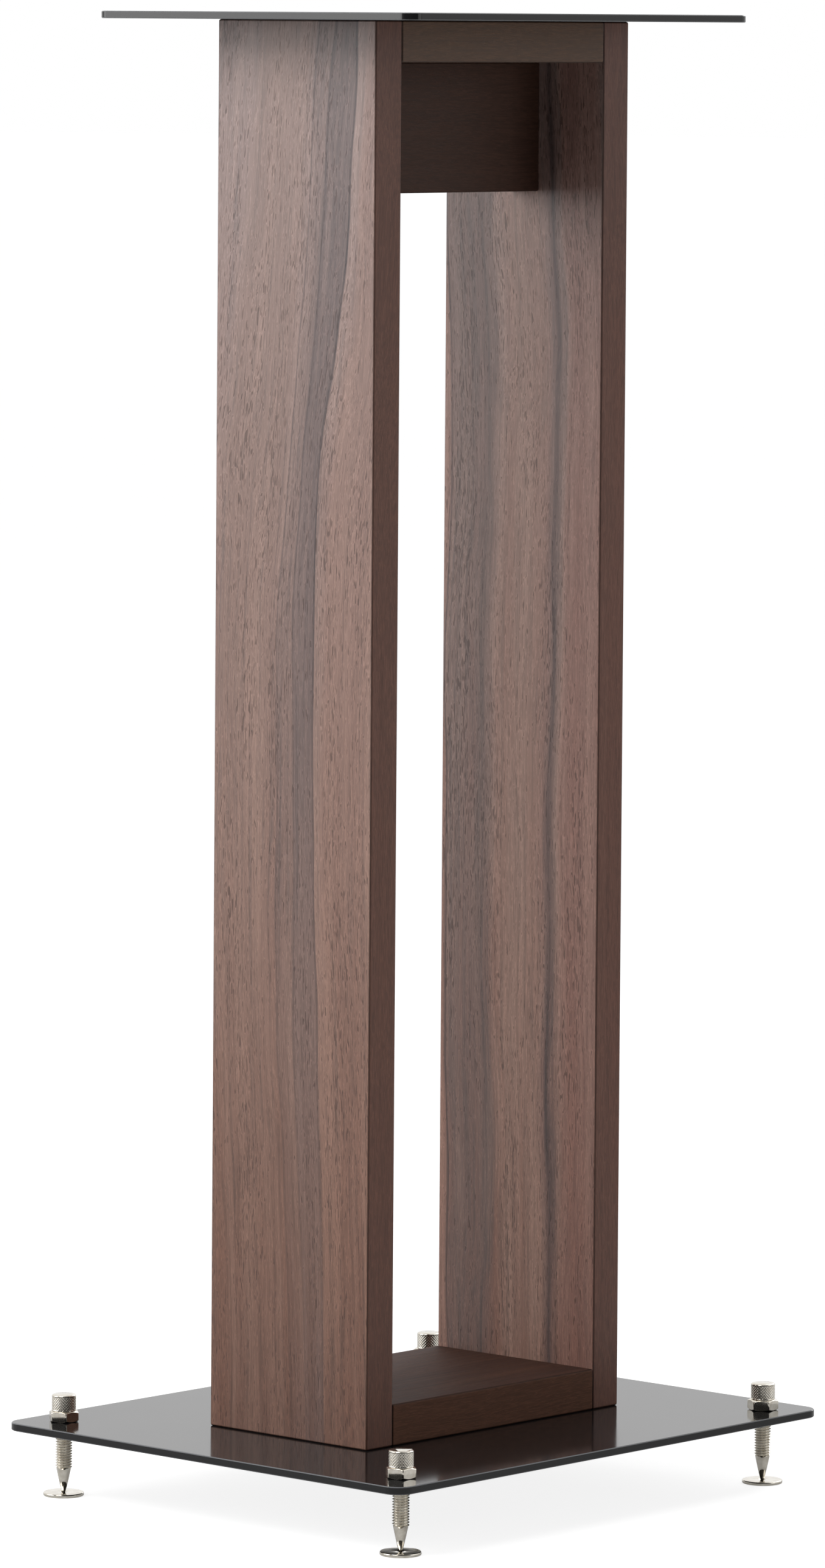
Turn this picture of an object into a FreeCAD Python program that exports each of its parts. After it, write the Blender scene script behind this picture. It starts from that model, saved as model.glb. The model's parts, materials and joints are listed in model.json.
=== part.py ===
"""Speaker stand: two steel plates, a wooden box column and four screwed spike feet.

Frame: millimetres, +Z up, origin on the floor under the middle of the stand.
X runs across the two side boards and the open front of the column faces -Y.
"""
import FreeCAD, Part
import math
import os

from FreeCAD import Vector

# ---------------------------------------------------------------- overall sizes
total_height = 700.0            # floor to the top of the top plate
leg_height = 31.5               # floor to the underside of the base plate

# ---------------------------------------------------------------- steel plates
top_plate_width = 240.0         # along X
top_plate_depth = 200.0         # along Y
top_plate_thickness = 3.5
top_plate_corner_radius = 7.0
base_plate_width = 300.0
base_plate_depth = 252.0
base_plate_thickness = 3.7
base_plate_corner_radius = 8.5
plate_edge_bevel = 0.4          # along the sheared edges, under the coating

# ---------------------------------------------------------------- column boards
column_width = 178.0            # outside face to outside face of the side boards
column_depth = 100.0
side_board_thickness = 18.0
cross_board_thickness = 19.5    # top and bottom boards
brace_thickness = 19.5
brace_drop = 61.5               # how far the brace hangs below the top board
board_edge_bevel = 0.8          # on every edge of a board, so that each joint shows a fine V line

# ---------------------------------------------------------------- dowel joints
dowel_diameter = 8.0
dowel_length = 30.0
dowel_depth_in_side_board = 12.0
dowel_hole_extra_depth = 1.0    # glue room at each end of a dowel
cross_board_dowel_inset = 18.0  # along Y, from the board's front and rear faces
brace_dowel_inset = 15.0        # along Z, from the brace's top and bottom faces

# ---------------------------------------------------------------- plate screws
screw_thread_diameter = 5.0
screw_head_diameter = 10.0
screw_head_height = 2.6
board_left_under_screw = 3.0    # sets the screw's length, 20 mm over its head
socket_across_flats = 3.0
socket_depth = 1.9
screw_inset_y = 20.0            # from the column's front and rear faces
screw_gap_to_dowel = 6.0        # along X, from an insert's hole to the dowel's hole beside it
screw_head_sink = 0.15          # head lies this far under the face of the plate
insert_diameter = 7.4
insert_length = 12.0
screw_hole_extra_depth = 1.2    # drilled past the screw's tip

# ---------------------------------------------------------------- feet
foot_inset_x = 21.5             # from the base plate's sides to the spike axes
foot_inset_y = 18.5             # from its front and rear edges
thread_diameter = 8.0
cone_diameter = 6.4
cone_length = 12.0
tip_diameter = 1.2
head_diameter = 11.6
head_height = 7.8
head_chamfer = 0.6
nut_across_flats = 13.0
nut_height = 5.0
nut_chamfer_angle = 30.0        # degrees, on both faces of the nut
nut_washer_face_diameter = 12.4 # flat round face left by the chamfer
nut_turns = (-10.4, 3.6, -7.5, 16.0)  # degrees, how each nut happens to stop
disc_diameter = 19.2
disc_thickness = 1.6
disc_rim_bevel = 0.5
dimple_diameter = 3.4
dimple_depth = 0.6

# ---------------------------------------------------------------- clearances
thread_clearance = 0.05         # radial, spike in the plate and in the nut
screw_clearance = 0.25          # radial, screw shank in a plate's plain hole
insert_clearance = 0.02         # radial, screw in its insert and insert in its hole
dowel_clearance = 0.05          # radial, dowel in its holes
countersink_clearance = 0.1     # radial, screw head in its countersink
tip_seat_gap = 0.02             # between the tip and the floor of its dimple

# ---------------------------------------------------------------- derived sizes
base_plate_bottom = leg_height
base_plate_top = base_plate_bottom + base_plate_thickness
top_plate_bottom = total_height - top_plate_thickness
column_height = top_plate_bottom - base_plate_top
inner_width = column_width - 2 * side_board_thickness
top_board_bottom = top_plate_bottom - cross_board_thickness
brace_bottom = top_board_bottom - brace_drop
head_bottom = base_plate_top + nut_height
head_top = head_bottom + head_height
dimple_floor = disc_thickness - dimple_depth
tip_height = dimple_floor + tip_seat_gap
thread_bottom = tip_height + cone_length
screw_length = top_plate_thickness + cross_board_thickness - board_left_under_screw
dowel_reach = dowel_length - dowel_depth_in_side_board + dowel_hole_extra_depth
insert_hole_radius = insert_diameter / 2 + insert_clearance
screw_pitch_x = inner_width - 2 * (dowel_reach + screw_gap_to_dowel + insert_hole_radius)
screw_pitch_y = column_depth - 2 * screw_inset_y
foot_pitch_x = base_plate_width - 2 * foot_inset_x
foot_pitch_y = base_plate_depth - 2 * foot_inset_y

Z_AXIS = Vector(0, 0, 1)

os.makedirs("parts", exist_ok=True)
written = []


def save(name, solids):
    """Write one node: a single solid, or a group of separate identical ones."""
    group = solids if isinstance(solids, list) else [solids]
    shape = group[0] if len(group) == 1 else Part.makeCompound(group)
    for solid in group:
        if not solid.isValid() or len(solid.Solids) != 1:
            raise ValueError(name + " is not one valid solid")
    shape.exportStep("parts/" + name + ".step")
    written.append(name)
    print(f"{name:28s} {len(group)} solid(s) {shape.Volume / 1000:9.2f} cm3")


def bevelled_board(size_x, size_y, size_z, corner):
    """A board with every edge bevelled."""
    box = Part.makeBox(size_x, size_y, size_z, corner)
    bevel = min(board_edge_bevel, 0.45 * min(size_x, size_y, size_z))
    return box.makeChamfer(bevel, box.Edges)


def revolved(points, axis_x=0.0, axis_y=0.0):
    """Turn an outline of (radius, height) points about the vertical axis."""
    corners = [Vector(axis_x + radius, axis_y, height) for radius, height in points]
    outline = Part.makePolygon(corners + corners[:1])
    return Part.Face(outline).revolve(Vector(axis_x, axis_y, 0), Z_AXIS, 360)


def hexagon_prism(across_flats, height, bottom, turn_degrees=0.0):
    """An upright hexagonal prism on the Z axis."""
    corner_radius = across_flats / math.sqrt(3)
    corners = []
    for side in range(7):
        angle = math.radians(60 * side + turn_degrees)
        x, y = corner_radius * math.cos(angle), corner_radius * math.sin(angle)
        corners.append(Vector(x, y, bottom))
    return Part.Face(Part.makePolygon(corners)).extrude(Vector(0, 0, height))


def corner_places(pitch_x, pitch_y):
    """The four corners of a rectangle: front left, front right, rear left, rear right."""
    return [(side * pitch_x / 2, end * pitch_y / 2) for end in (-1, 1) for side in (-1, 1)]


# ================================================================ steel plates
def plate_blank(size, bottom, corner_radius):
    """A flat plate with rounded corners and bevelled top and bottom edges."""
    width, depth, thickness = size
    blank = Part.makeBox(width, depth, thickness, Vector(-width / 2, -depth / 2, bottom))
    corners = [edge for edge in blank.Edges if abs(edge.tangentAt(edge.FirstParameter).z) > 0.9]
    blank = blank.makeFillet(corner_radius, corners)
    rims = []
    for face in blank.Faces:
        if abs(face.normalAt(0, 0).z) > 0.9:
            rims += face.Edges
    return blank.makeChamfer(min(plate_edge_bevel, 0.3 * thickness), rims)


def countersunk_hole(x, y, face_height, inward, thickness):
    """A screw hole through a plate, sunk from the face at face_height.

    inward is +1 or -1, the way the screw goes in along Z.
    """
    overshoot = 1.0
    shank = screw_thread_diameter / 2 + screw_clearance
    head = screw_head_diameter / 2 + countersink_clearance
    slope = (screw_head_diameter - screw_thread_diameter) / 2 / screw_head_height
    mouth = head + slope * (screw_head_sink + overshoot)
    outline = [
        (0, -overshoot),
        (mouth, -overshoot),
        (shank, (mouth - shank) / slope - overshoot),
        (shank, thickness + overshoot),
        (0, thickness + overshoot),
    ]
    points = [(radius, face_height + inward * depth) for radius, depth in outline]
    return revolved(points, x, y)


def make_top_plate():
    size = (top_plate_width, top_plate_depth, top_plate_thickness)
    plate = plate_blank(size, top_plate_bottom, top_plate_corner_radius)
    for x, y in corner_places(screw_pitch_x, screw_pitch_y):
        plate = plate.cut(countersunk_hole(x, y, total_height, -1, top_plate_thickness))
    return plate


def make_base_plate():
    size = (base_plate_width, base_plate_depth, base_plate_thickness)
    plate = plate_blank(size, base_plate_bottom, base_plate_corner_radius)
    for x, y in corner_places(screw_pitch_x, screw_pitch_y):
        plate = plate.cut(countersunk_hole(x, y, base_plate_bottom, 1, base_plate_thickness))
    bore_radius = thread_diameter / 2 + thread_clearance
    for x, y in corner_places(foot_pitch_x, foot_pitch_y):
        start = Vector(x, y, base_plate_bottom - 1)
        bore = Part.makeCylinder(bore_radius, base_plate_thickness + 2, start)
        plate = plate.cut(bore)
    return plate


# ================================================================ dowel joints
def dowel(center_x, y, z, direction):
    """A beech dowel across the seam at center_x; direction, +1 or -1, is where its short end points."""
    start = Vector(center_x + direction * dowel_depth_in_side_board, y, z)
    return Part.makeCylinder(dowel_diameter / 2, dowel_length, start, Vector(-direction, 0, 0))


def dowel_hole(center_x, y, z, direction):
    """The blind hole for one dowel, drilled through the seam into both boards."""
    depth = dowel_depth_in_side_board + dowel_hole_extra_depth
    start = Vector(center_x + direction * depth, y, z)
    radius = dowel_diameter / 2 + dowel_clearance
    length = dowel_length + 2 * dowel_hole_extra_depth
    return Part.makeCylinder(radius, length, start, Vector(-direction, 0, 0))


def seam_places(rows):
    """Each (seam x, y, z, direction) for dowels on both seams; rows gives their (y, z)."""
    return [(side * inner_width / 2, y, z, side) for side in (-1, 1) for y, z in rows]


cross_board_dowel_y = column_depth / 2 - cross_board_dowel_inset
top_dowel_height = top_plate_bottom - cross_board_thickness / 2
bottom_dowel_height = base_plate_top + cross_board_thickness / 2
top_seam = seam_places([(end * cross_board_dowel_y, top_dowel_height) for end in (-1, 1)])
bottom_seam = seam_places([(end * cross_board_dowel_y, bottom_dowel_height) for end in (-1, 1)])
brace_seam = seam_places([(0, brace_bottom + brace_dowel_inset), (0, top_board_bottom - brace_dowel_inset)])


def drilled(board, seams):
    for place in seams:
        board = board.cut(dowel_hole(*place))
    return board


# ================================================================ column boards
def make_side_board(side):
    """side is -1 for the left board and +1 for the right one."""
    inner_face = side * inner_width / 2
    outer_face = side * column_width / 2
    corner = Vector(min(inner_face, outer_face), -column_depth / 2, base_plate_top)
    board = bevelled_board(side_board_thickness, column_depth, column_height, corner)
    seams = [place for place in top_seam + bottom_seam + brace_seam if place[3] == side]
    return drilled(board, seams)


def insert_bore(x, y, mouth_height, inward):
    """The blind hole for one threaded insert and the end of its screw."""
    depth = screw_length + screw_head_sink - top_plate_thickness + screw_hole_extra_depth
    mouth = Vector(x, y, mouth_height)
    return Part.makeCylinder(insert_hole_radius, depth, mouth, Vector(0, 0, inward))


def make_cross_board(bottom, seams, mouth_height, inward):
    corner = Vector(-inner_width / 2, -column_depth / 2, bottom)
    board = bevelled_board(inner_width, column_depth, cross_board_thickness, corner)
    for x, y in corner_places(screw_pitch_x, screw_pitch_y):
        board = board.cut(insert_bore(x, y, mouth_height, inward))
    return drilled(board, seams)


def make_brace():
    corner = Vector(-inner_width / 2, -brace_thickness / 2, brace_bottom)
    board = bevelled_board(inner_width, brace_thickness, brace_drop, corner)
    return drilled(board, brace_seam)


# ================================================================ plate screws
def plate_screw(x, y, face_height, inward):
    """A countersunk socket screw whose head sits just under the face at face_height."""
    head = screw_head_diameter / 2
    shank = screw_thread_diameter / 2
    outline = [
        (0, 0),
        (head, 0),
        (shank, screw_head_height),
        (shank, screw_length),
        (0, screw_length),
    ]
    top = face_height + inward * screw_head_sink
    screw = revolved([(radius, top + inward * depth) for radius, depth in outline])
    socket = hexagon_prism(socket_across_flats, inward * socket_depth, top)
    screw = screw.cut(socket)
    screw.translate(Vector(x, y, 0))
    return screw


def threaded_insert(x, y, mouth_height, inward):
    """A brass sleeve set flush in the face of a cross board."""
    outer = insert_diameter / 2
    bore = screw_thread_diameter / 2 + insert_clearance
    outline = [
        (bore, 0),
        (outer, 0),
        (outer, insert_length),
        (bore, insert_length),
    ]
    return revolved([(radius, mouth_height + inward * depth) for radius, depth in outline], x, y)


# ================================================================ feet
def make_spike(x, y):
    """Round knurled head, threaded shank and long cone, turned from one bar."""
    thread = thread_diameter / 2
    cone = cone_diameter / 2
    tip = tip_diameter / 2
    head = head_diameter / 2
    outline = [
        (0, tip_height),
        (tip, tip_height),
        (cone, thread_bottom),
        (thread, thread_bottom),
        (thread, head_bottom),
        (head, head_bottom),
        (head, head_top - head_chamfer),
        (head - head_chamfer, head_top),
        (0, head_top),
    ]
    return revolved(outline, x, y)


def make_lock_nut(x, y, turn_degrees):
    """A hexagon nut chamfered on both faces, which also spaces the spike's head off the plate."""
    prism = hexagon_prism(nut_across_flats, nut_height, base_plate_top, turn_degrees)
    corner_radius = nut_across_flats / math.sqrt(3)
    face_radius = nut_washer_face_diameter / 2
    drop = (corner_radius - face_radius) * math.tan(math.radians(nut_chamfer_angle))
    outline = [
        (0, base_plate_top),
        (face_radius, base_plate_top),
        (corner_radius, base_plate_top + drop),
        (corner_radius, base_plate_top + nut_height - drop),
        (face_radius, base_plate_top + nut_height),
        (0, base_plate_top + nut_height),
    ]
    nut = prism.common(revolved(outline))
    bore_radius = thread_diameter / 2 + thread_clearance
    nut = nut.cut(Part.makeCylinder(bore_radius, nut_height, Vector(0, 0, base_plate_top)))
    nut.translate(Vector(x, y, 0))
    return nut


def make_floor_disc(x, y):
    """A thin turned disc with a dimple for the spike's tip."""
    rim = disc_diameter / 2
    seat = tip_diameter / 2
    mouth = dimple_diameter / 2
    outline = [
        (0, 0),
        (rim, 0),
        (rim, disc_thickness - disc_rim_bevel),
        (rim - disc_rim_bevel, disc_thickness),
        (mouth, disc_thickness),
        (seat, dimple_floor),
        (0, dimple_floor),
    ]
    return revolved(outline, x, y)


# ================================================================ assembly
save("top_plate", make_top_plate())
save("base_plate", make_base_plate())
save("left_side_board", make_side_board(-1))
save("right_side_board", make_side_board(1))
save("top_cross_board", make_cross_board(top_board_bottom, top_seam, top_plate_bottom, -1))
save("bottom_cross_board", make_cross_board(base_plate_top, bottom_seam, base_plate_top, 1))
save("upper_brace_board", make_brace())

save("top_joint_dowels", [dowel(*place) for place in top_seam])
save("bottom_joint_dowels", [dowel(*place) for place in bottom_seam])
save("brace_joint_dowels", [dowel(*place) for place in brace_seam])

screw_places = corner_places(screw_pitch_x, screw_pitch_y)
save("top_plate_screws", [plate_screw(x, y, total_height, -1) for x, y in screw_places])
save("base_plate_screws", [plate_screw(x, y, base_plate_bottom, 1) for x, y in screw_places])
save("top_board_inserts", [threaded_insert(x, y, top_plate_bottom, -1) for x, y in screw_places])
save("bottom_board_inserts", [threaded_insert(x, y, base_plate_top, 1) for x, y in screw_places])

foot_names = ("front_left", "front_right", "rear_left", "rear_right")
foot_places = corner_places(foot_pitch_x, foot_pitch_y)
for foot_name, (x, y), nut_turn in zip(foot_names, foot_places, nut_turns):
    save("spike_" + foot_name, make_spike(x, y))
    save("lock_nut_" + foot_name, make_lock_nut(x, y, nut_turn))
    save("floor_disc_" + foot_name, make_floor_disc(x, y))

print(len(written), "nodes; column", round(column_height, 1), "mm high")
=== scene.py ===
# %% [markdown]
# # A speaker stand, from its frame to its finish
# The stand is two black steel plates held apart by an open column of veneered boards, on four
# screwed spikes. Its construction comes as a fixed frame: every piece already lies at its real
# place and size, in metres, with +Z up. This script gives the frame its looks. It never moves a
# piece of the frame. It either dresses it, or stands a finer mesh in exactly the same place.

# %% Load the frame
import json
import math

import bmesh
import bpy
from mathutils import Euler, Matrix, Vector

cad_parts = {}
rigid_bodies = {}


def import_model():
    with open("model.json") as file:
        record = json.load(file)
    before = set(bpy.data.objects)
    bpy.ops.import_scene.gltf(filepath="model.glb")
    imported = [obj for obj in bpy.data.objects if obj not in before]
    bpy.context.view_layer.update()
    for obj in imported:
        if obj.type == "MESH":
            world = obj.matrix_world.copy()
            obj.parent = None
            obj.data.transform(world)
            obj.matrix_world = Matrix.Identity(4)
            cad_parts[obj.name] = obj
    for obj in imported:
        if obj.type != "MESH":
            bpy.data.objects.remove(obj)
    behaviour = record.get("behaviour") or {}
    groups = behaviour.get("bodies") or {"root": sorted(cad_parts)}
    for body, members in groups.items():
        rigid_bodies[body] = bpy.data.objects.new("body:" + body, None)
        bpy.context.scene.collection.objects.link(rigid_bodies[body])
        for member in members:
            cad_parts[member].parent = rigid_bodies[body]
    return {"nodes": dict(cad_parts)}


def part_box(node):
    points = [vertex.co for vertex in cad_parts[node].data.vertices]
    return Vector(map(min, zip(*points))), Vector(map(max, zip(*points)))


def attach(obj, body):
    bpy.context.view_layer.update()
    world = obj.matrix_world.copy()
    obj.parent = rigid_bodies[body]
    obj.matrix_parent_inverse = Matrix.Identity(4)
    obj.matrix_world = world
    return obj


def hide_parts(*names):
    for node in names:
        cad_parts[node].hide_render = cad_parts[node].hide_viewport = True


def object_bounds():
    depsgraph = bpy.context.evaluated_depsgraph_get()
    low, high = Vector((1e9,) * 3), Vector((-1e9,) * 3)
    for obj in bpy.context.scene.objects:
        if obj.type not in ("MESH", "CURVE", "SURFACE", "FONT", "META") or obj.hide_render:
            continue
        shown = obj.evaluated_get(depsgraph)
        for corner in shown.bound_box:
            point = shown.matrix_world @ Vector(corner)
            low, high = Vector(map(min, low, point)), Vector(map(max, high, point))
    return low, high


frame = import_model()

MM = 0.001
frame_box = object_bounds()
frame_size = [round(size / MM, 1) for size in frame_box[1] - frame_box[0]]
print("frame:", len(frame["nodes"]), "pieces,", frame_size, "mm")

# %% [markdown]
# ## Helpers that everything below uses
# Colours are easiest to pick as sRGB hex values, the way a paint chart gives them, but shaders
# count in linear light, so one function converts them. A material is a small network, and its
# code stays readable if one line adds a node together with its settings and its links. Every
# new object has to be linked into the scene, so that is one line too.

# %% Colour, node and object helpers
def linear(hex_colour):
    """An sRGB hex colour as linear red, green, blue and alpha."""
    channels = [int(hex_colour[i:i + 2], 16) / 255 for i in (1, 3, 5)]
    return [c / 12.92 if c <= 0.04045 else ((c + 0.055) / 1.055) ** 2.4 for c in channels] + [1.0]


def add(tree, kind, inputs=None, **settings):
    """Add a node. inputs gives sockets, by name or number, a value, or another node or socket to link."""
    node = tree.nodes.new(kind)
    for setting, value in settings.items():
        setattr(node, setting, value)
    for socket, value in (inputs or {}).items():
        if isinstance(value, bpy.types.Node):
            value = value.outputs[0]
        if isinstance(value, bpy.types.NodeSocket):
            tree.links.new(value, node.inputs[socket])
        else:
            node.inputs[socket].default_value = value
    return node


def new_material(name, **surface):
    """A material, its node tree and its Principled shader, with constants set on the shader's own sockets."""
    material = bpy.data.materials.new(name)
    material.use_nodes = True
    shader = material.node_tree.nodes["Principled BSDF"]
    for socket, value in surface.items():
        shader.inputs[socket.replace("_", " ")].default_value = value
    return material, material.node_tree, shader


def in_scene(name, data):
    """A new object for a mesh, a lamp or a camera, linked into the scene."""
    made = bpy.data.objects.new(name, data)
    bpy.context.scene.collection.objects.link(made)
    return made


print("linear mid grey:", [round(c, 3) for c in linear("#808080")])

# %% [markdown]
# ## Where the picture is taken from
# A long lens far away keeps the uprights almost parallel, as in a catalogue picture. The camera
# stands to the left of the open front, level with the top plate, so the top plate is seen edge
# on. It looks down a little, and a modest shift of the lens takes up the rest, which keeps the
# uprights from leaning together.

# %% Camera
camera_place = Vector((-2.8722, -2.5938, 0.6966))   # metres
camera_pitch = -2.703                               # degrees, down
camera_roll = 0.405
camera_turn = -47.845                               # degrees about the vertical, from facing +Y

camera = in_scene("camera", bpy.data.cameras.new("camera"))
bpy.context.scene.camera = camera
camera.data.sensor_width = 36.0
camera.data.lens = 188.49
camera.data.shift_y = -0.24
camera.data.clip_end = 50.0
facing = Euler((math.radians(90 + camera_pitch), 0, math.radians(camera_turn))).to_matrix()
camera.rotation_euler = (facing @ Euler((0, 0, math.radians(camera_roll))).to_matrix()).to_euler()
camera.location = camera_place
print("camera", round(camera_place.length, 2), "m from the stand's foot")

# %% [markdown]
# ## Meshes made row by row
# The feet are turned parts, so their surfaces are rows of points round an axis, one row above
# the other. Writing the rows out, rather than using a lathe modifier, lets every row carry its
# own relief, such as a thread or a knurl. A row may have a whole multiple of the points of the
# row below it, so the fine knurl can sit on a coarser shank.

# %% Row meshes
def row_mesh(name, rows, ring=False, sharp_angle=40.0):
    """A closed mesh through rows of points, lowest first. ring joins the last row back to the first."""
    vertices = [point for row in rows for point in row]
    starts = [sum(len(row) for row in rows[:i]) for i in range(len(rows))]
    faces = []
    pairs = list(zip(range(len(rows) - 1), range(1, len(rows)))) + ([(len(rows) - 1, 0)] if ring else [])
    for low, high in pairs:
        count = len(rows[low])
        step = len(rows[high]) // count
        for i in range(count):
            below = [starts[low] + i, starts[low] + (i + 1) % count]
            above = [starts[high] + (step * i + k) % len(rows[high]) for k in range(step, -1, -1)]
            faces.append(below + above)
    if not ring:
        faces.append([starts[0] + i for i in reversed(range(len(rows[0])))])
        faces.append([starts[-1] + i for i in range(len(rows[-1]))])
    mesh = bpy.data.meshes.new(name)
    mesh.from_pydata([Vector(v) * MM for v in vertices], [], faces)
    mesh.shade_smooth()
    mesh.set_sharp_from_angle(angle=math.radians(sharp_angle))
    return in_scene(name, mesh)


def circle_row(center, height, count, radius_at):
    """A row of points round center; radius_at gives the radius in mm for an angle in radians."""
    angles = [2 * math.pi * i / count for i in range(count)]
    return [
        (center[0] + radius_at(a) * math.cos(a), center[1] + radius_at(a) * math.sin(a), height)
        for a in angles
    ]


def stand_in(piece, node, material):
    """Let a finished mesh stand for a piece of the frame, on the same body, with its finish."""
    piece.data.materials.append(material)
    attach(piece, frame["nodes"][node].parent.name.removeprefix("body:"))
    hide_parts(node)
    print("made", piece.name, "with", len(piece.data.polygons), "faces")
    return piece


def box_mm(node):
    """The lowest and highest corner of a piece of the frame, in mm."""
    low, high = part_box(node)
    return low / MM, high / MM


def axis_of(low, high):
    """Where the upright axis through the middle of a box stands, in mm."""
    return ((low.x + high.x) / 2, (low.y + high.y) / 2)


# %% [markdown]
# ## Polished nickel plate
# The feet are steel, turned and then nickel plated: a bright metal, a little warmer than chrome.
# A mirror finish is never perfect. Turning leaves fine rings, and plating rounds them over, so
# the roughness and a slight relief follow rings round the axis. The rings here are 0.25 mm
# apart, wider than the tool's real feed of about 0.1 mm, so that they can show at all.

# %% Nickel
RING_SPACING = 0.25


def nickel():
    material, tree, shader = new_material("polished_nickel_plate", Metallic=1.0)
    place = add(tree, "ShaderNodeTexCoord")
    millimetres = add(
        tree, "ShaderNodeVectorMath", {0: place.outputs["Object"], 3: 1 / MM}, operation="SCALE"
    )
    stretched = add(tree, "ShaderNodeMapping", {0: millimetres, 3: (0.15, 0.15, 1 / RING_SPACING)})
    rings = add(tree, "ShaderNodeTexNoise", {"Vector": stretched, "Scale": 1.0, "Detail": 2.0})
    haze = add(tree, "ShaderNodeTexNoise", {"Vector": millimetres, "Scale": 0.35, "Detail": 3.0})
    tint = add(tree, "ShaderNodeValToRGB", {0: haze})
    tint.color_ramp.elements[0].position = 0.35
    tint.color_ramp.elements[0].color = linear("#d6cfc2")
    tint.color_ramp.elements[1].position = 0.65
    tint.color_ramp.elements[1].color = linear("#e8e3d8")
    polish = add(tree, "ShaderNodeMapRange", {0: rings, 1: 0.3, 2: 0.7, 3: 0.05, 4: 0.12})
    relief = add(tree, "ShaderNodeBump", {"Strength": 0.15, "Distance": 0.004 * MM, "Height": rings})
    tree.links.new(tint.outputs[0], shader.inputs["Base Color"])
    tree.links.new(polish.outputs[0], shader.inputs["Roughness"])
    tree.links.new(relief.outputs[0], shader.inputs["Normal"])
    return material


polished_nickel = nickel()
print("material", polished_nickel.name)

# %% [markdown]
# ## The spikes
# Each foot is one turned bar. At the top is a knurled grip, then an M8 thread that screws through
# the lock nut and the base plate, then a long cone down to a small tip. The thread is a real
# helix: the radius of each point depends on its height less the climb of the thread at its angle.
# The knurl is two such families of grooves, leaning 45 degrees left and right, which leave rows of
# small diamonds. The grooves that lean right are cut a little deeper, so they catch the eye
# first. The cone is slightly fuller than the frame's, because the photograph shows it so.

# %% Spikes
THREAD_PITCH = 1.25
THREAD_DEPTH = 0.77
HALF_CREST = 0.07            # share of the pitch, from the middle of a crest to its edge
FLANK = 0.30                 # share of the pitch that one sloping side takes
ROWS_PER_PITCH = 10
SHANK_POINTS = 72
KNURL_STARTS = 27            # grooves round the grip, 1.35 mm apart
KNURL_POINTS = 8             # points from one groove to the next
GROOVE_DEPTHS = (0.22, 0.20)  # of grooves that lean right, and of those that lean left
SHANK_RADIUS = 4.0
CONE_LENGTH = 12.0
CONE_RADIUS = 3.5
TIP_RADIUS = 1.05
TIP_ROUNDING = 0.35


def thread_cut(turns):
    """How deep the thread is cut, in mm, at a phase counted in turns; 0 is the middle of a crest."""
    from_crest = abs((turns + 0.5) % 1.0 - 0.5)
    return THREAD_DEPTH * min(max((from_crest - HALF_CREST) / FLANK, 0.0), 1.0)


def groove(turns):
    """1 in the middle of a knurled groove, 0 on the ridge half a turn away."""
    return abs((turns % 1.0) * 2 - 1)


def spike(foot):
    node = "spike_" + foot
    low, high = box_mm(node)
    center = axis_of(low, high)
    nut_top = box_mm("lock_nut_" + foot)[1].z
    thread_bottom = low.z + CONE_LENGTH
    grip = (high.x - low.x) / 2

    rows = []
    for share in (0.0, 0.25, 0.5, 0.75, 1.0):
        tip_round = TIP_ROUNDING * (1 - share) ** 3
        radius = TIP_RADIUS + (CONE_RADIUS - TIP_RADIUS) * share - tip_round
        rows.append(circle_row(center, low.z + CONE_LENGTH * share, SHANK_POINTS, lambda a: radius))
    count = round((nut_top - thread_bottom) / THREAD_PITCH * ROWS_PER_PITCH)
    for i in range(1, count + 1):
        height = thread_bottom + (nut_top - thread_bottom) * i / count
        lead_in = CONE_RADIUS + (height - thread_bottom)

        def threaded(angle):
            cut = thread_cut(height / THREAD_PITCH - angle / (2 * math.pi))
            return min(SHANK_RADIUS - cut, lead_in)

        rows.append(circle_row(center, height, SHANK_POINTS, threaded))

    grip_points = KNURL_STARTS * KNURL_POINTS
    spacing = 2 * math.pi * grip / grip_points
    for inset in (0.55, 0.25, 0.05):
        rows.append(circle_row(center, nut_top + 0.3 * (0.55 - inset), grip_points, lambda a: grip - inset))
    knurl_bottom, knurl_top = nut_top + 0.35, high.z - 0.75
    knurl_rows = round((knurl_top - knurl_bottom) / spacing)
    for j in range(knurl_rows + 1):
        height = knurl_bottom + spacing * j
        fade = min(j, knurl_rows - j, 2) / 2

        def knurled(angle):
            around, up = angle / (2 * math.pi) * KNURL_STARTS, j / KNURL_POINTS
            right, left = GROOVE_DEPTHS[0] * groove(around - up), GROOVE_DEPTHS[1] * groove(around + up)
            return grip - 0.03 - fade * max(right, left)

        rows.append(circle_row(center, height, grip_points, knurled))
    for inset, drop in ((0.02, 0.6), (0.08, 0.42), (0.5, 0.06), (0.68, 0.0)):
        rows.append(circle_row(center, high.z - drop, grip_points, lambda a: grip - inset))
    return stand_in(row_mesh("detailed_" + node, rows, sharp_angle=60.0), node, polished_nickel)


FEET = ("front_left", "front_right", "rear_left", "rear_right")
for foot in FEET:
    spike(foot)

# %% [markdown]
# ## The lock nuts
# A hexagon nut is a hexagonal bar, turned at both ends so that its corners are cut back to a
# cone. Where the cone meets a flat it leaves a curve, which gives the nut its pillow look. In
# polar form that is simply the smaller of two radii, the hexagon's and the cone's, and blending
# the two softly gives the small rounding that tumbling and plating leave.

# %% Lock nuts
NUT_POINTS = 180
NUT_ROUNDING = 0.10
CHAMFER_SLOPE = math.tan(math.radians(30))
BORE_RADIUS = 4.05
BORE_CHAMFER = 0.45


def soft_min(a, b, blend):
    """The smaller of two lengths, rounded over where they are within blend of each other."""
    share = max(blend - abs(a - b), 0.0) / blend
    return min(a, b) - share * share * blend / 4


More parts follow.
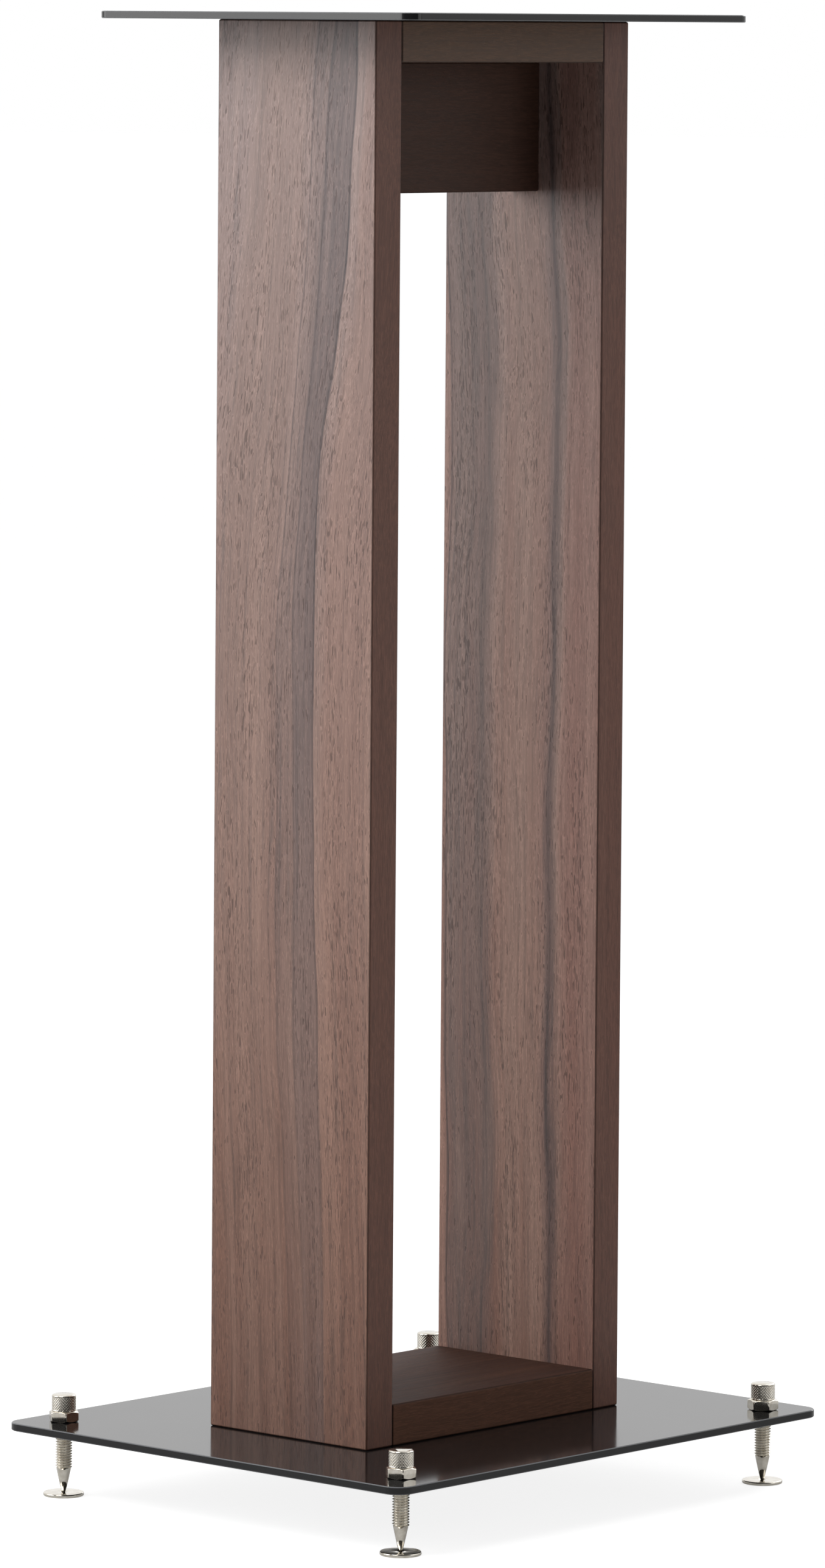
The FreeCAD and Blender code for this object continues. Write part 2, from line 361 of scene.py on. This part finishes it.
def lock_nut(foot):
    node = "lock_nut_" + foot
    low, high = box_mm(node)
    center = axis_of(low, high)
    vertices = [v.co / MM for v in frame["nodes"][node].data.vertices]
    corner = max(vertices, key=lambda v: (v.x - center[0]) ** 2 + (v.y - center[1]) ** 2)
    turn = math.atan2(corner.y - center[1], corner.x - center[0])
    across_corners = 2 * math.hypot(corner.x - center[0], corner.y - center[1])
    half_flats = across_corners / 2 * math.cos(math.pi / 6)
    face_radius = half_flats - 0.3

    def hexagon(angle):
        from_flat = (angle - turn) % (math.pi / 3) - math.pi / 6
        return soft_min(half_flats / math.cos(from_flat), across_corners / 2 - 0.04, 0.12)

    def outer(height):
        end_gap = min(height - low.z, high.z - height)
        cone = face_radius + end_gap / CHAMFER_SLOPE
        return lambda angle: soft_min(hexagon(angle), cone, NUT_ROUNDING) - 0.01

    steps = (0.0, 0.04, 0.09, 0.15, 0.22, 0.30, 0.40, 0.52, 0.66, 0.85)
    heights = [low.z + s for s in steps] + [(low.z + high.z) / 2] + [high.z - s for s in reversed(steps)]
    rows = [circle_row(center, low.z, NUT_POINTS, lambda a: BORE_RADIUS + BORE_CHAMFER)]
    rows += [circle_row(center, height, NUT_POINTS, outer(height)) for height in heights]
    rows.append(circle_row(center, high.z, NUT_POINTS, lambda a: BORE_RADIUS + BORE_CHAMFER))
    rows.append(circle_row(center, high.z - BORE_CHAMFER, NUT_POINTS, lambda a: BORE_RADIUS))
    rows.append(circle_row(center, low.z + BORE_CHAMFER, NUT_POINTS, lambda a: BORE_RADIUS))
    return stand_in(row_mesh("detailed_" + node, rows, ring=True), node, polished_nickel)


for foot in FEET:
    lock_nut(foot)

# %% [markdown]
# ## The floor discs
# Each spike stands in the dimple of a thin turned disc, which spares the floor. Seen at a low
# angle the disc is mostly a rim and a narrow ellipse, so its rounding is what catches light.

# %% Floor discs
DISC_POINTS = 96
RIM_ROUNDING = 0.55
RIM_STEPS = 6
FOOT_BEVEL = 0.25            # under the rim, where the disc meets the floor


def floor_disc(foot):
    node = "floor_disc_" + foot
    low, high = box_mm(node)
    center = axis_of(low, high)
    rim = (high.x - low.x) / 2
    tip_height = box_mm("spike_" + foot)[0].z - 0.02
    profile = [(rim - FOOT_BEVEL, low.z), (rim, low.z + FOOT_BEVEL)]
    for i in range(RIM_STEPS + 1):
        angle = math.pi / 2 * i / RIM_STEPS
        out, up = RIM_ROUNDING * math.cos(angle), RIM_ROUNDING * math.sin(angle)
        profile.append((rim - RIM_ROUNDING + out, high.z - RIM_ROUNDING + up))
    profile += [(5.0, high.z), (1.9, high.z), (1.7, high.z - 0.06), (TIP_RADIUS, tip_height)]
    rows = [circle_row(center, height, DISC_POINTS, lambda a: radius) for radius, height in profile]
    return stand_in(row_mesh("detailed_" + node, rows, sharp_angle=50.0), node, polished_nickel)


for foot in FEET:
    floor_disc(foot)

# %% [markdown]
# ## Open-pored veneer
# The column is board covered in a dark, figured veneer under a satin lacquer. Three scales of
# pattern make it: broad shades a finger wide where the tree grew darker, fibres a fraction of a
# millimetre wide, and open pores, short dark dashes a few millimetres long that the lacquer does
# not fill. Each is noise stretched along the grain, so it runs on over a board's edges as a solid
# would. A leaf of veneer has only a few dark streaks, so those are placed one by one. The whole
# figure then bends to one side along the board, the way a trunk does, and everything bends with
# it. On top of that the colour is painted greyer and paler towards the top, a painted sheen, and a
# deeper red-brown towards the foot, a painted shade.

# %% Veneer
SHADE_WIDTH, SHADE_LENGTH = 9.0, 420.0    # mm across and along the grain
STRIPE_WIDTH, STRIPE_LENGTH = 2.2, 170.0
FIBRE_WIDTH, FIBRE_LENGTH = 0.36, 16.0
PORE_WIDTH, PORE_LENGTH = 0.62, 6.0       # real pores are about 0.3 mm wide; drawn wider to show
PORE_DEPTH = 0.13
PORE_SHADE = "#33221e"
PAINTED_SHEEN_GREY = "#a29a9b"                         # painted sheen: the colour is painted greyer and paler higher up the board
PAINTED_FOOT_SHADE = "#5c3a2e"                         # painted shade: the colour is painted a deeper red-brown lower down
GRAIN_WANDER = 2.5                        # mm that the grain strays sideways
PAINTED_ARRIS_SHADE = "#2b1c17"                   # painted shade on every rounded arris of a board
BOARD_TOP = box_mm("left_side_board")[1].z


def stretched_noise(tree, place, grain, width, length, **settings):
    """Noise whose marks are width across the grain and length along it, in mm."""
    scale = [1 / width] * 3
    scale["xyz".index(grain)] = 1 / length
    drawn = add(tree, "ShaderNodeMapping", {0: place, 3: scale})
    return add(tree, "ShaderNodeTexNoise", {"Vector": drawn, "Scale": 1.0, **settings})


def bent_figure(tree, place, bend):
    """Shift a place in mm towards the front by a curve that runs up the board."""
    parts = add(tree, "ShaderNodeSeparateXYZ", {0: place})
    rise = add(tree, "ShaderNodeMath", {0: parts.outputs["Z"], 1: 1 / BOARD_TOP}, operation="MULTIPLY")
    curve = add(tree, "ShaderNodeFloatCurve", {1: rise})
    line = curve.mapping.curves[0]
    furthest = max(abs(shift) for _, shift in bend) or 1.0
    points = [(height / BOARD_TOP, 0.5 + shift / furthest / 2) for height, shift in sorted(bend)]
    for point, (along, across) in zip((line.points[0], line.points[1]), (points[0], points[-1])):
        point.location = (along, across)
    for along, across in points[1:-1]:
        line.points.new(along, across)
    curve.mapping.update()
    shift = add(tree, "ShaderNodeMapRange", {0: curve, 3: -furthest, 4: furthest})
    sideways = add(tree, "ShaderNodeCombineXYZ", {1: shift})
    return add(tree, "ShaderNodeVectorMath", {0: place, 1: sideways}, operation="SUBTRACT")


def veneer(
    name,
    grain,
    leaf,
    bend=((0, 0), (BOARD_TOP, 0)),
    streaks=(),
    fading=1.0,
    painted_sheen=0.0,
    foot=0.0,
    satin=0.34,
    sheen=0.4,
    **tones,
):
    """Veneer with its grain along an axis. leaf is where in the log, in mm, this leaf was cut.

    bend gives how far, in mm, the figure leans to the rear at a few heights. A streak is
    (rear side, front side, softness, strength, colour), with its sides given in mm. fading is the
    share of it that is left at the foot of the board. bloom is how far the colour is painted greyer
    and paler at the top, a painted sheen, and foot how far it is painted a deeper red-brown at the
    foot, a painted shade. satin is the roughness of the lacquer, sheen its specular level.
    """
    tone = {"warm": "#8f6a5a", "pale": "#a27d6c", "dark": "#67524a", "edge": "#7a4f3f", **tones}
    material, tree, shader = new_material(name, IOR=1.5, Specular_IOR_Level=sheen)
    object_place = add(tree, "ShaderNodeTexCoord")
    millimetres = add(
        tree, "ShaderNodeVectorMath", {0: object_place.outputs["Object"], 3: 1 / MM}, operation="SCALE"
    )
    cut = add(tree, "ShaderNodeVectorMath", {0: millimetres, 1: leaf}, operation="ADD")
    wander = stretched_noise(tree, cut, grain, 30.0, 130.0, Detail=1.0)
    stray = add(tree, "ShaderNodeMapRange", {0: wander, 1: 0.3, 2: 0.7, 3: -GRAIN_WANDER, 4: GRAIN_WANDER})
    wavy = add(tree, "ShaderNodeVectorMath", {0: millimetres, 1: stray}, operation="ADD")
    figure = bent_figure(tree, wavy, bend)
    drawn = add(tree, "ShaderNodeVectorMath", {0: figure, 1: leaf}, operation="ADD")

    shades = stretched_noise(tree, drawn, grain, SHADE_WIDTH, SHADE_LENGTH, Detail=3.0, Roughness=0.55)
    stripes = stretched_noise(tree, drawn, grain, STRIPE_WIDTH, STRIPE_LENGTH, Detail=4.0, Roughness=0.6)
    fibres = stretched_noise(tree, drawn, grain, FIBRE_WIDTH, FIBRE_LENGTH, Detail=2.0, Roughness=0.55)
    pores = stretched_noise(
        tree, drawn, grain, PORE_WIDTH, PORE_LENGTH, Detail=1.0, Roughness=0.4, Distortion=0.5
    )
    pore_zones = stretched_noise(tree, drawn, grain, 14.0, 160.0, Detail=2.0)

    shade_share = add(tree, "ShaderNodeMapRange", {0: shades, 1: 0.40, 2: 0.62, 3: 0.0, 4: 1.0})
    stripe_share = add(tree, "ShaderNodeMapRange", {0: stripes, 1: 0.50, 2: 0.75, 3: 0.0, 4: 0.7})
    ground = add(
        tree,
        "ShaderNodeMix",
        {0: shade_share, 6: linear(tone["warm"]), 7: linear(tone["pale"])},
        data_type="RGBA",
    )
    striped = add(
        tree,
        "ShaderNodeMix",
        {0: stripe_share, 6: ground.outputs[2], 7: linear(tone["dark"])},
        data_type="RGBA",
    )
    colour = striped.outputs[2]

    parts = add(tree, "ShaderNodeSeparateXYZ", {0: figure})
    rise = add(tree, "ShaderNodeSeparateXYZ", {0: millimetres})
    # painted sheen: the colour is mixed towards a pale grey higher up the board; painted shade: it is mixed
    # towards a deeper red-brown near the foot
    painted_sheen_share = add(
        tree, "ShaderNodeMapRange", {0: rise.outputs["Z"], 1: 120, 2: BOARD_TOP - 40, 3: 0.0, 4: painted_sheen}
    )
    sheen_painted = add(tree, "ShaderNodeMix", {0: painted_sheen_share, 6: colour, 7: linear(PAINTED_SHEEN_GREY)}, data_type="RGBA")
    deeper = add(tree, "ShaderNodeMapRange", {0: rise.outputs["Z"], 1: 36, 2: 300, 3: foot, 4: 0.0})
    foot_shade_painted = add(
        tree, "ShaderNodeMix", {0: deeper, 6: sheen_painted.outputs[2], 7: linear(PAINTED_FOOT_SHADE)}, data_type="RGBA"
    )
    colour = foot_shade_painted.outputs[2]
    left_over = add(tree, "ShaderNodeMapRange", {0: rise.outputs["Z"], 1: 100, 2: 430, 3: fading, 4: 1.0})
    broken = add(tree, "ShaderNodeMapRange", {0: stripes, 1: 0.3, 2: 0.6, 3: 0.7, 4: left_over})
    for rear, front, softness, strength, streak_colour in streaks:
        middle, half = (rear + front) / 2, (rear - front) / 2
        offset = add(tree, "ShaderNodeMath", {0: parts.outputs["Y"], 1: middle}, operation="SUBTRACT")
        apart = add(tree, "ShaderNodeMath", {0: offset}, operation="ABSOLUTE")
        mask = add(
            tree,
            "ShaderNodeMapRange",
            {0: apart, 1: half - softness / 2, 2: half + softness / 2, 3: strength, 4: 0.0},
            interpolation_type="SMOOTHSTEP",
        )
        share = add(tree, "ShaderNodeMath", {0: mask, 1: broken}, operation="MULTIPLY")
        streaked = add(
            tree, "ShaderNodeMix", {0: share, 6: colour, 7: linear(streak_colour)}, data_type="RGBA"
        )
        colour = streaked.outputs[2]

    across = add(tree, "ShaderNodeVectorMath", {0: object_place.outputs["Normal"]}, operation="ABSOLUTE")
    facing = add(tree, "ShaderNodeSeparateXYZ", {0: across})
    edge_share = add(tree, "ShaderNodeMapRange", {0: facing.outputs["Y"], 1: 0.5, 2: 0.8, 3: 0.0, 4: 0.85})
    edged = add(tree, "ShaderNodeMix", {0: edge_share, 6: colour, 7: linear(tone["edge"])}, data_type="RGBA")
    flatter = add(
        tree, "ShaderNodeMath", {0: facing.outputs["X"], 1: facing.outputs["Y"]}, operation="MAXIMUM"
    )
    flattest = add(tree, "ShaderNodeMath", {0: flatter, 1: facing.outputs["Z"]}, operation="MAXIMUM")
    # painted shade: the colour darkens on every rounded arris, where the normal leans off the axes
    arris = add(tree, "ShaderNodeMapRange", {0: flattest, 1: 0.98, 2: 0.85, 3: 0.0, 4: 0.7})
    arris_shade_painted = add(
        tree, "ShaderNodeMix", {0: arris, 6: edged.outputs[2], 7: linear(PAINTED_ARRIS_SHADE)}, data_type="RGBA"
    )

    pore_limit = add(tree, "ShaderNodeMapRange", {0: pore_zones, 1: 0.3, 2: 0.7, 3: 0.67, 4: 0.51})
    pore_excess = add(tree, "ShaderNodeMath", {0: pores, 1: pore_limit}, operation="SUBTRACT")
    pore_depth = add(tree, "ShaderNodeMapRange", {0: edge_share, 1: 0.0, 2: 0.85, 3: 0.62, 4: 0.15})
    pore_share = add(tree, "ShaderNodeMapRange", {0: pore_excess, 1: 0.0, 2: 0.08, 3: 0.0, 4: pore_depth})
    rim_gain = add(tree, "ShaderNodeMapRange", {0: pore_excess, 1: -0.08, 2: -0.01, 3: 0.0, 4: 0.30})
    fibre_gain = add(tree, "ShaderNodeMapRange", {0: fibres, 1: 0.3, 2: 0.7, 3: 0.78, 4: 1.15})
    stripe_gain = add(tree, "ShaderNodeMapRange", {0: stripes, 1: 0.3, 2: 0.7, 3: 0.09, 4: -0.09})
    fine_gain = add(tree, "ShaderNodeMath", {0: rim_gain, 1: fibre_gain}, operation="ADD")
    gain = add(tree, "ShaderNodeMath", {0: fine_gain, 1: stripe_gain}, operation="ADD")
    fibred = add(tree, "ShaderNodeVectorMath", {0: arris_shade_painted.outputs[2], 3: gain}, operation="SCALE")
    pored = add(tree, "ShaderNodeMix", {0: pore_share, 6: fibred, 7: linear(PORE_SHADE)}, data_type="RGBA")

    gloss = add(tree, "ShaderNodeMapRange", {0: fibres, 1: 0.3, 2: 0.7, 3: satin, 4: satin + 0.1})
    sunk = add(tree, "ShaderNodeMath", {0: pore_share, 1: -1.0}, operation="MULTIPLY")
    height = add(tree, "ShaderNodeMath", {0: fibres, 1: 0.4, 2: sunk}, operation="MULTIPLY_ADD")
    relief = add(tree, "ShaderNodeBump", {"Strength": 0.6, "Distance": PORE_DEPTH * MM, "Height": height})
    tree.links.new(pored.outputs[2], shader.inputs["Base Color"])
    tree.links.new(gloss.outputs[0], shader.inputs["Roughness"])
    tree.links.new(relief.outputs[0], shader.inputs["Normal"])
    return material


# %% [markdown]
# The streaks of the two side boards are what one remembers of this stand. The left board's grey
# belt swings to the front near the top, and its front side is a thin dark line. The right board
# has a grey half at the rear, one slate-dark line, and a redder strip beside it.

# %% Leaves for the boards
SLATE = "#3b373b"
LEFT_BEND = (
    (36, -10), (120, -7), (200, -3.5), (300, 0), (420, 0), (470, -3), (546, -12.5), (646, -21), (696, -26)
)
LEFT_STREAKS = (
    (48, 12, 8, 0.35, "#94796d"),
    (9, -13, 4, 0.45, "#6f605d"),
    (-1, -13.3, 2, 0.45, "#5c5355"),
    (-12.9, -14.1, 1.0, 0.85, SLATE),
    (-0.6, -1.4, 0.8, 0.5, SLATE),
    (9.3, 8.5, 0.8, 0.55, SLATE),
    (13.2, 12.6, 0.8, 0.3, SLATE),
    (-20, -52, 8, 0.3, "#9c7463"),
)
RIGHT_BEND = ((36, -4), (140, -1), (310, 1), (410, 0.5), (500, -2), (550, -1), (615, 4), (696, 6))
RIGHT_STREAKS = (
    (46, 17, 8, 0.6, "#6e6462"),
    (52, 46.5, 1.5, 0.4, "#b98f80"),
    (45.8, 44.8, 0.8, 0.6, SLATE),
    (25, 22, 3, 0.3, "#5c5251"),
    (12, -14, 8, 0.35, "#b08f80"),
    (-17, -25, 5, 0.5, "#635858"),
    (-19.6, -22.2, 2.2, 0.5, SLATE),
    (-27, -52, 4, 0.5, "#a0756a"),
)
veneers = {
    "left_side_board": veneer(
        "veneer_left_board", "z", (0, 0, 0), LEFT_BEND, LEFT_STREAKS,
        fading=0.2, painted_sheen=0.5, foot=0.45,
    ),
    # painted light: the right board's tones are lighter than the left board's, standing in for light on its
    # inner face
    "right_side_board": veneer(
        "veneer_right_board", "z", (310, 40, 90), RIGHT_BEND, RIGHT_STREAKS,
        painted_sheen=0.45, foot=0.2, warm="#a67c6c", pale="#b99484", dark="#7c675e",
    ),
    "top_cross_board": veneer(
        "veneer_top_board", "x", (0, 610, 20),
        warm="#66503f", pale="#715a48", edge="#72543f",
    ),
    # painted shade: the bottom board and the brace get darker tones than the other boards, standing in for
    # the shade inside the column
    "bottom_cross_board": veneer(
        "veneer_bottom_board", "x", (40, 900, 300),
        warm="#4a3026", pale="#56392c", dark="#33231d", edge="#74503e", satin=0.6, sheen=0.2,
    ),
    "upper_brace_board": veneer(
        "veneer_brace", "x", (90, 1400, 70),
        warm="#4f3a31", pale="#5a4237", edge="#4e352a", satin=0.5, sheen=0.3,
    ),
}
print("veneers for", list(veneers))

# %% [markdown]
# ## The boards
# Every arris of a board is rounded by about a millimetre, by sanding, so the lacquer holds on it.
# That rounding draws the thin dark V where two boards meet, and a soft light line along each
# front edge. The veneer also darkens the colour on every rounded arris, a painted shade that deepens
# the V. A bevel on a plain block gives the rounding, with weighted normals, which keep the big faces
# flat while the narrow strips between them shade smoothly.

# %% Boards
ARRIS_ROUNDING = 1.0


def board(node):
    low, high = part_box(node)
    shell = bmesh.new()
    corners = [
        shell.verts.new((x, y, z)) for z in (low.z, high.z) for y in (low.y, high.y) for x in (low.x, high.x)
    ]
    sides = ((0, 2, 3, 1), (4, 5, 7, 6), (0, 1, 5, 4), (2, 6, 7, 3), (0, 4, 6, 2), (1, 3, 7, 5))
    for side in sides:
        shell.faces.new([corners[i] for i in side])
    bmesh.ops.bevel(
        shell, geom=shell.edges[:], offset=ARRIS_ROUNDING * MM, segments=4, profile=0.5, affect="EDGES"
    )
    mesh = bpy.data.meshes.new("finished_" + node)
    shell.to_mesh(mesh)
    shell.free()
    mesh.shade_smooth()
    piece = in_scene("finished_" + node, mesh)
    weighted = piece.modifiers.new("keep the faces flat", "WEIGHTED_NORMAL")
    weighted.weight = 100
    return stand_in(piece, node, veneers[node])


for node in veneers:
    board(node)

# %% [markdown]
# ## Black coat on steel
# The plates are cut from sheet steel and coated black. A smooth coat lies like paint: nearly
# flat, with a faint orange peel a few millimetres wide and some fine dust in it. It is dark and
# glossy enough to mirror what stands on it at a low angle, a little blurred. The chamfered edges
# are painted a lighter grey, a painted highlight along them.

# %% Black coat
PEEL_SIZE = 2.6
DUST_SIZE = 0.35


def black_coat():
    material, tree, shader = new_material("black_coat_on_steel", IOR=1.5, Specular_IOR_Level=0.42)
    place = add(tree, "ShaderNodeTexCoord")
    millimetres = add(
        tree, "ShaderNodeVectorMath", {0: place.outputs["Object"], 3: 1 / MM}, operation="SCALE"
    )
    peel = add(tree, "ShaderNodeTexNoise", {"Vector": millimetres, "Scale": 1 / PEEL_SIZE, "Detail": 1.0})
    dust = add(tree, "ShaderNodeTexNoise", {"Vector": millimetres, "Scale": 1 / DUST_SIZE, "Detail": 2.0})
    cloud = add(tree, "ShaderNodeTexNoise", {"Vector": millimetres, "Scale": 1 / 40, "Detail": 3.0})
    depth = add(tree, "ShaderNodeMapRange", {0: cloud, 1: 0.3, 2: 0.7, 3: 0.0, 4: 1.0})
    tone = add(
        tree, "ShaderNodeMix", {0: depth, 6: linear("#161617"), 7: linear("#1c1c1e")}, data_type="RGBA"
    )
    speck = add(tree, "ShaderNodeMapRange", {0: dust, 1: 0.70, 2: 0.78, 3: 0.0, 4: 0.25})
    specked = add(
        tree, "ShaderNodeMix", {0: speck, 6: tone.outputs[2], 7: linear("#4a4a4c")}, data_type="RGBA"
    )
    turned = add(tree, "ShaderNodeVectorMath", {0: place.outputs["Normal"]}, operation="ABSOLUTE")
    upward = add(tree, "ShaderNodeSeparateXYZ", {0: turned})
    tilt = add(tree, "ShaderNodeMath", {0: upward.outputs["Z"], 1: 0.707}, operation="SUBTRACT")
    off_bevel = add(tree, "ShaderNodeMath", {0: tilt}, operation="ABSOLUTE")
    # painted highlight: the 45-degree chamfers are mixed towards a light grey
    bevel = add(tree, "ShaderNodeMapRange", {0: off_bevel, 1: 0.05, 2: 0.2, 3: 0.8, 4: 0.0})
    edge_highlight_painted = add(
        tree, "ShaderNodeMix", {0: bevel, 6: specked.outputs[2], 7: linear("#85878a")}, data_type="RGBA"
    )
    gloss = add(tree, "ShaderNodeMapRange", {0: cloud, 1: 0.3, 2: 0.7, 3: 0.09, 4: 0.12})
    rough = add(tree, "ShaderNodeMath", {0: speck, 1: 0.5, 2: gloss}, operation="MULTIPLY_ADD")
    relief = add(tree, "ShaderNodeBump", {"Strength": 0.05, "Distance": 0.02 * MM, "Height": peel})
    tree.links.new(edge_highlight_painted.outputs[2], shader.inputs["Base Color"])
    tree.links.new(rough.outputs[0], shader.inputs["Roughness"])
    tree.links.new(relief.outputs[0], shader.inputs["Normal"])
    return material


def dress(node, material):
    """Give a piece of the frame its finish."""
    piece = frame["nodes"][node]
    piece.data.materials.clear()
    piece.data.materials.append(material)
    print("dressed", node, "in", material.name)


black_coated = black_coat()
for node in ("top_plate", "base_plate"):
    dress(node, black_coated)

# %% [markdown]
# ## What holds the stand together
# Countersunk screws go through the plates into threaded brass sleeves, and beech dowels cross the
# joints of the boards. Only the screw heads can be seen, from above and from below, but the
# hidden pieces get their own finish too, for anyone who takes the stand apart.

# %% Screws, sleeves and dowels
def fastener_finish(name, dark, light, mark_size, roughness, metallic):
    """A plain finish that varies between two tones over marks of a given size in mm."""
    material, tree, shader = new_material(name, Metallic=metallic)
    place = add(tree, "ShaderNodeTexCoord")
    millimetres = add(
        tree, "ShaderNodeVectorMath", {0: place.outputs["Object"], 3: 1 / MM}, operation="SCALE"
    )
    drawn = add(tree, "ShaderNodeMapping", {0: millimetres, 3: [1 / size for size in mark_size]})
    marks = add(tree, "ShaderNodeTexNoise", {"Vector": drawn, "Scale": 1.0, "Detail": 3.0})
    share = add(tree, "ShaderNodeMapRange", {0: marks, 1: 0.35, 2: 0.65, 3: 0.0, 4: 1.0})
    tone = add(tree, "ShaderNodeMix", {0: share, 6: linear(dark), 7: linear(light)}, data_type="RGBA")
    rough = add(tree, "ShaderNodeMapRange", {0: marks, 1: 0.3, 2: 0.7, 3: roughness, 4: roughness + 0.15})
    relief = add(tree, "ShaderNodeBump", {"Strength": 0.3, "Distance": 0.02 * MM, "Height": marks})
    tree.links.new(tone.outputs[2], shader.inputs["Base Color"])
    tree.links.new(rough.outputs[0], shader.inputs["Roughness"])
    tree.links.new(relief.outputs[0], shader.inputs["Normal"])
    return material


black_oxide = fastener_finish("black_oxide_steel", "#17171a", "#26262a", (0.6, 0.6, 0.6), 0.35, 0.6)
brass = fastener_finish("turned_brass", "#b08d4a", "#c7a35c", (4.0, 4.0, 0.2), 0.25, 1.0)
beech = fastener_finish("plain_beech", "#b98f62", "#cfa97c", (12.0, 0.5, 0.5), 0.55, 0.0)
FASTENERS = {
    "top_plate_screws": black_oxide,
    "base_plate_screws": black_oxide,
    "top_board_inserts": brass,
    "bottom_board_inserts": brass,
    "top_joint_dowels": beech,
    "bottom_joint_dowels": beech,
    "brace_joint_dowels": beech,
}
for node, finish in FASTENERS.items():
    dress(node, finish)

# %% [markdown]
# ## The studio
# The stand is photographed on white, in soft light that comes mostly from the left. A white floor
# and a white world make the background. Four softboxes do the rest: one high on the left lights
# the wide faces, a wide one behind on the left gives the veneer its pale sheen near the top, a
# weak one at the front right opens up the front edges, and one on the right lights the far side.
# What metal and gloss see is darker on the camera's side, so they keep some contrast.

# %% Floor and world
def white_floor():
    mesh = bpy.data.meshes.new("studio_floor")
    reach = 40.0
    corners = [(x * reach, y * reach, 0) for x, y in ((-1, -1), (1, -1), (1, 1), (-1, 1))]
    mesh.from_pydata(corners, [], [(0, 1, 2, 3)])
    floor = in_scene("studio_floor", mesh)
    material, tree, shader = new_material("white_floor", Roughness=0.9, Specular_IOR_Level=0.1)
    shader.inputs["Base Color"].default_value = linear("#b8b8b8")
    rays = add(tree, "ShaderNodeLightPath")
    shader.inputs["Emission Color"].default_value = (1, 1, 1, 1)
    seen = add(tree, "ShaderNodeMath", {0: rays.outputs["Is Glossy Ray"], 1: 0.3}, operation="MULTIPLY")
    either = add(tree, "ShaderNodeMath", {0: rays.outputs["Is Camera Ray"], 1: seen}, operation="MAXIMUM")
    lift = add(tree, "ShaderNodeMath", {0: either, 1: 0.86}, operation="MULTIPLY")
    tree.links.new(lift.outputs[0], shader.inputs["Emission Strength"])
    floor.data.materials.append(material)
    return floor


def studio_world(diffuse_level, dark_side, dark_level):
    """White for the camera; elsewhere it dims towards the horizontal direction dark_side."""
    world = bpy.data.worlds.new("studio")
    bpy.context.scene.world = world
    world.use_nodes = True
    tree = world.node_tree
    sky = tree.nodes["Background"]
    rays = add(tree, "ShaderNodeLightPath")
    place = add(tree, "ShaderNodeTexCoord")
    towards = add(
        tree, "ShaderNodeVectorMath", {0: place.outputs["Generated"], 1: dark_side}, operation="DOT_PRODUCT"
    )
    level = add(
        tree,
        "ShaderNodeMapRange",
        {0: towards.outputs["Value"], 1: -0.1, 2: 0.75, 3: 1.0, 4: dark_level},
        interpolation_type="SMOOTHSTEP",
    )
    dimmed = add(tree, "ShaderNodeMath", {0: level, 1: diffuse_level}, operation="MULTIPLY")
    mirrored = add(
        tree, "ShaderNodeMix", {0: rays.outputs["Is Glossy Ray"], 2: dimmed, 3: level}, data_type="FLOAT"
    )
    seen = add(
        tree,
        "ShaderNodeMix",
        {0: rays.outputs["Is Camera Ray"], 2: mirrored.outputs[0], 3: 1.0},
        data_type="FLOAT",
    )
    sky.inputs["Color"].default_value = (1, 1, 1, 1)
    tree.links.new(seen.outputs[0], sky.inputs["Strength"])
    return world


white_floor()
studio_world(diffuse_level=0.34, dark_side=Vector((-0.70, -0.71, 0.0)), dark_level=0.04)
print("white floor and world")


# %% Softboxes
def softbox(name, place, aim, width, height, level):
    """A rectangular lamp; level is how bright its face is, where 1 is white."""
    light = bpy.data.lights.new(name, "AREA")
    light.shape = "RECTANGLE"
    light.size, light.size_y = width, height
    light.energy = level * math.pi * width * height
    lamp = in_scene(name, light)
    lamp.location = place
    lamp.rotation_euler = (Vector(aim) - Vector(place)).to_track_quat("-Z", "Y").to_euler()
    lamp.visible_camera = False
    print(name, round(light.energy, 1), "W")
    return lamp


softbox("key_high_left", (-1.5, -0.1, 1.8), (0, 0, 0.5), 1.1, 1.1, 4.9)
softbox("sheen_left_rear", (-1.7, 1.6, 1.3), (0, 0, 0.9), 1.8, 1.7, 3.1)
softbox("fill_front_right", (0.65, -1.9, 0.7), (0, 0, 0.35), 0.8, 1.3, 0.9)
softbox("fill_right", (2.0, 0.5, 1.3), (0, 0, 0.35), 1.2, 1.2, 3.0)

# %% [markdown]
# ## The picture's tones
# The picture's tones are left as they are.

# %% Finish
bpy.context.scene.view_settings.view_transform = "Standard"
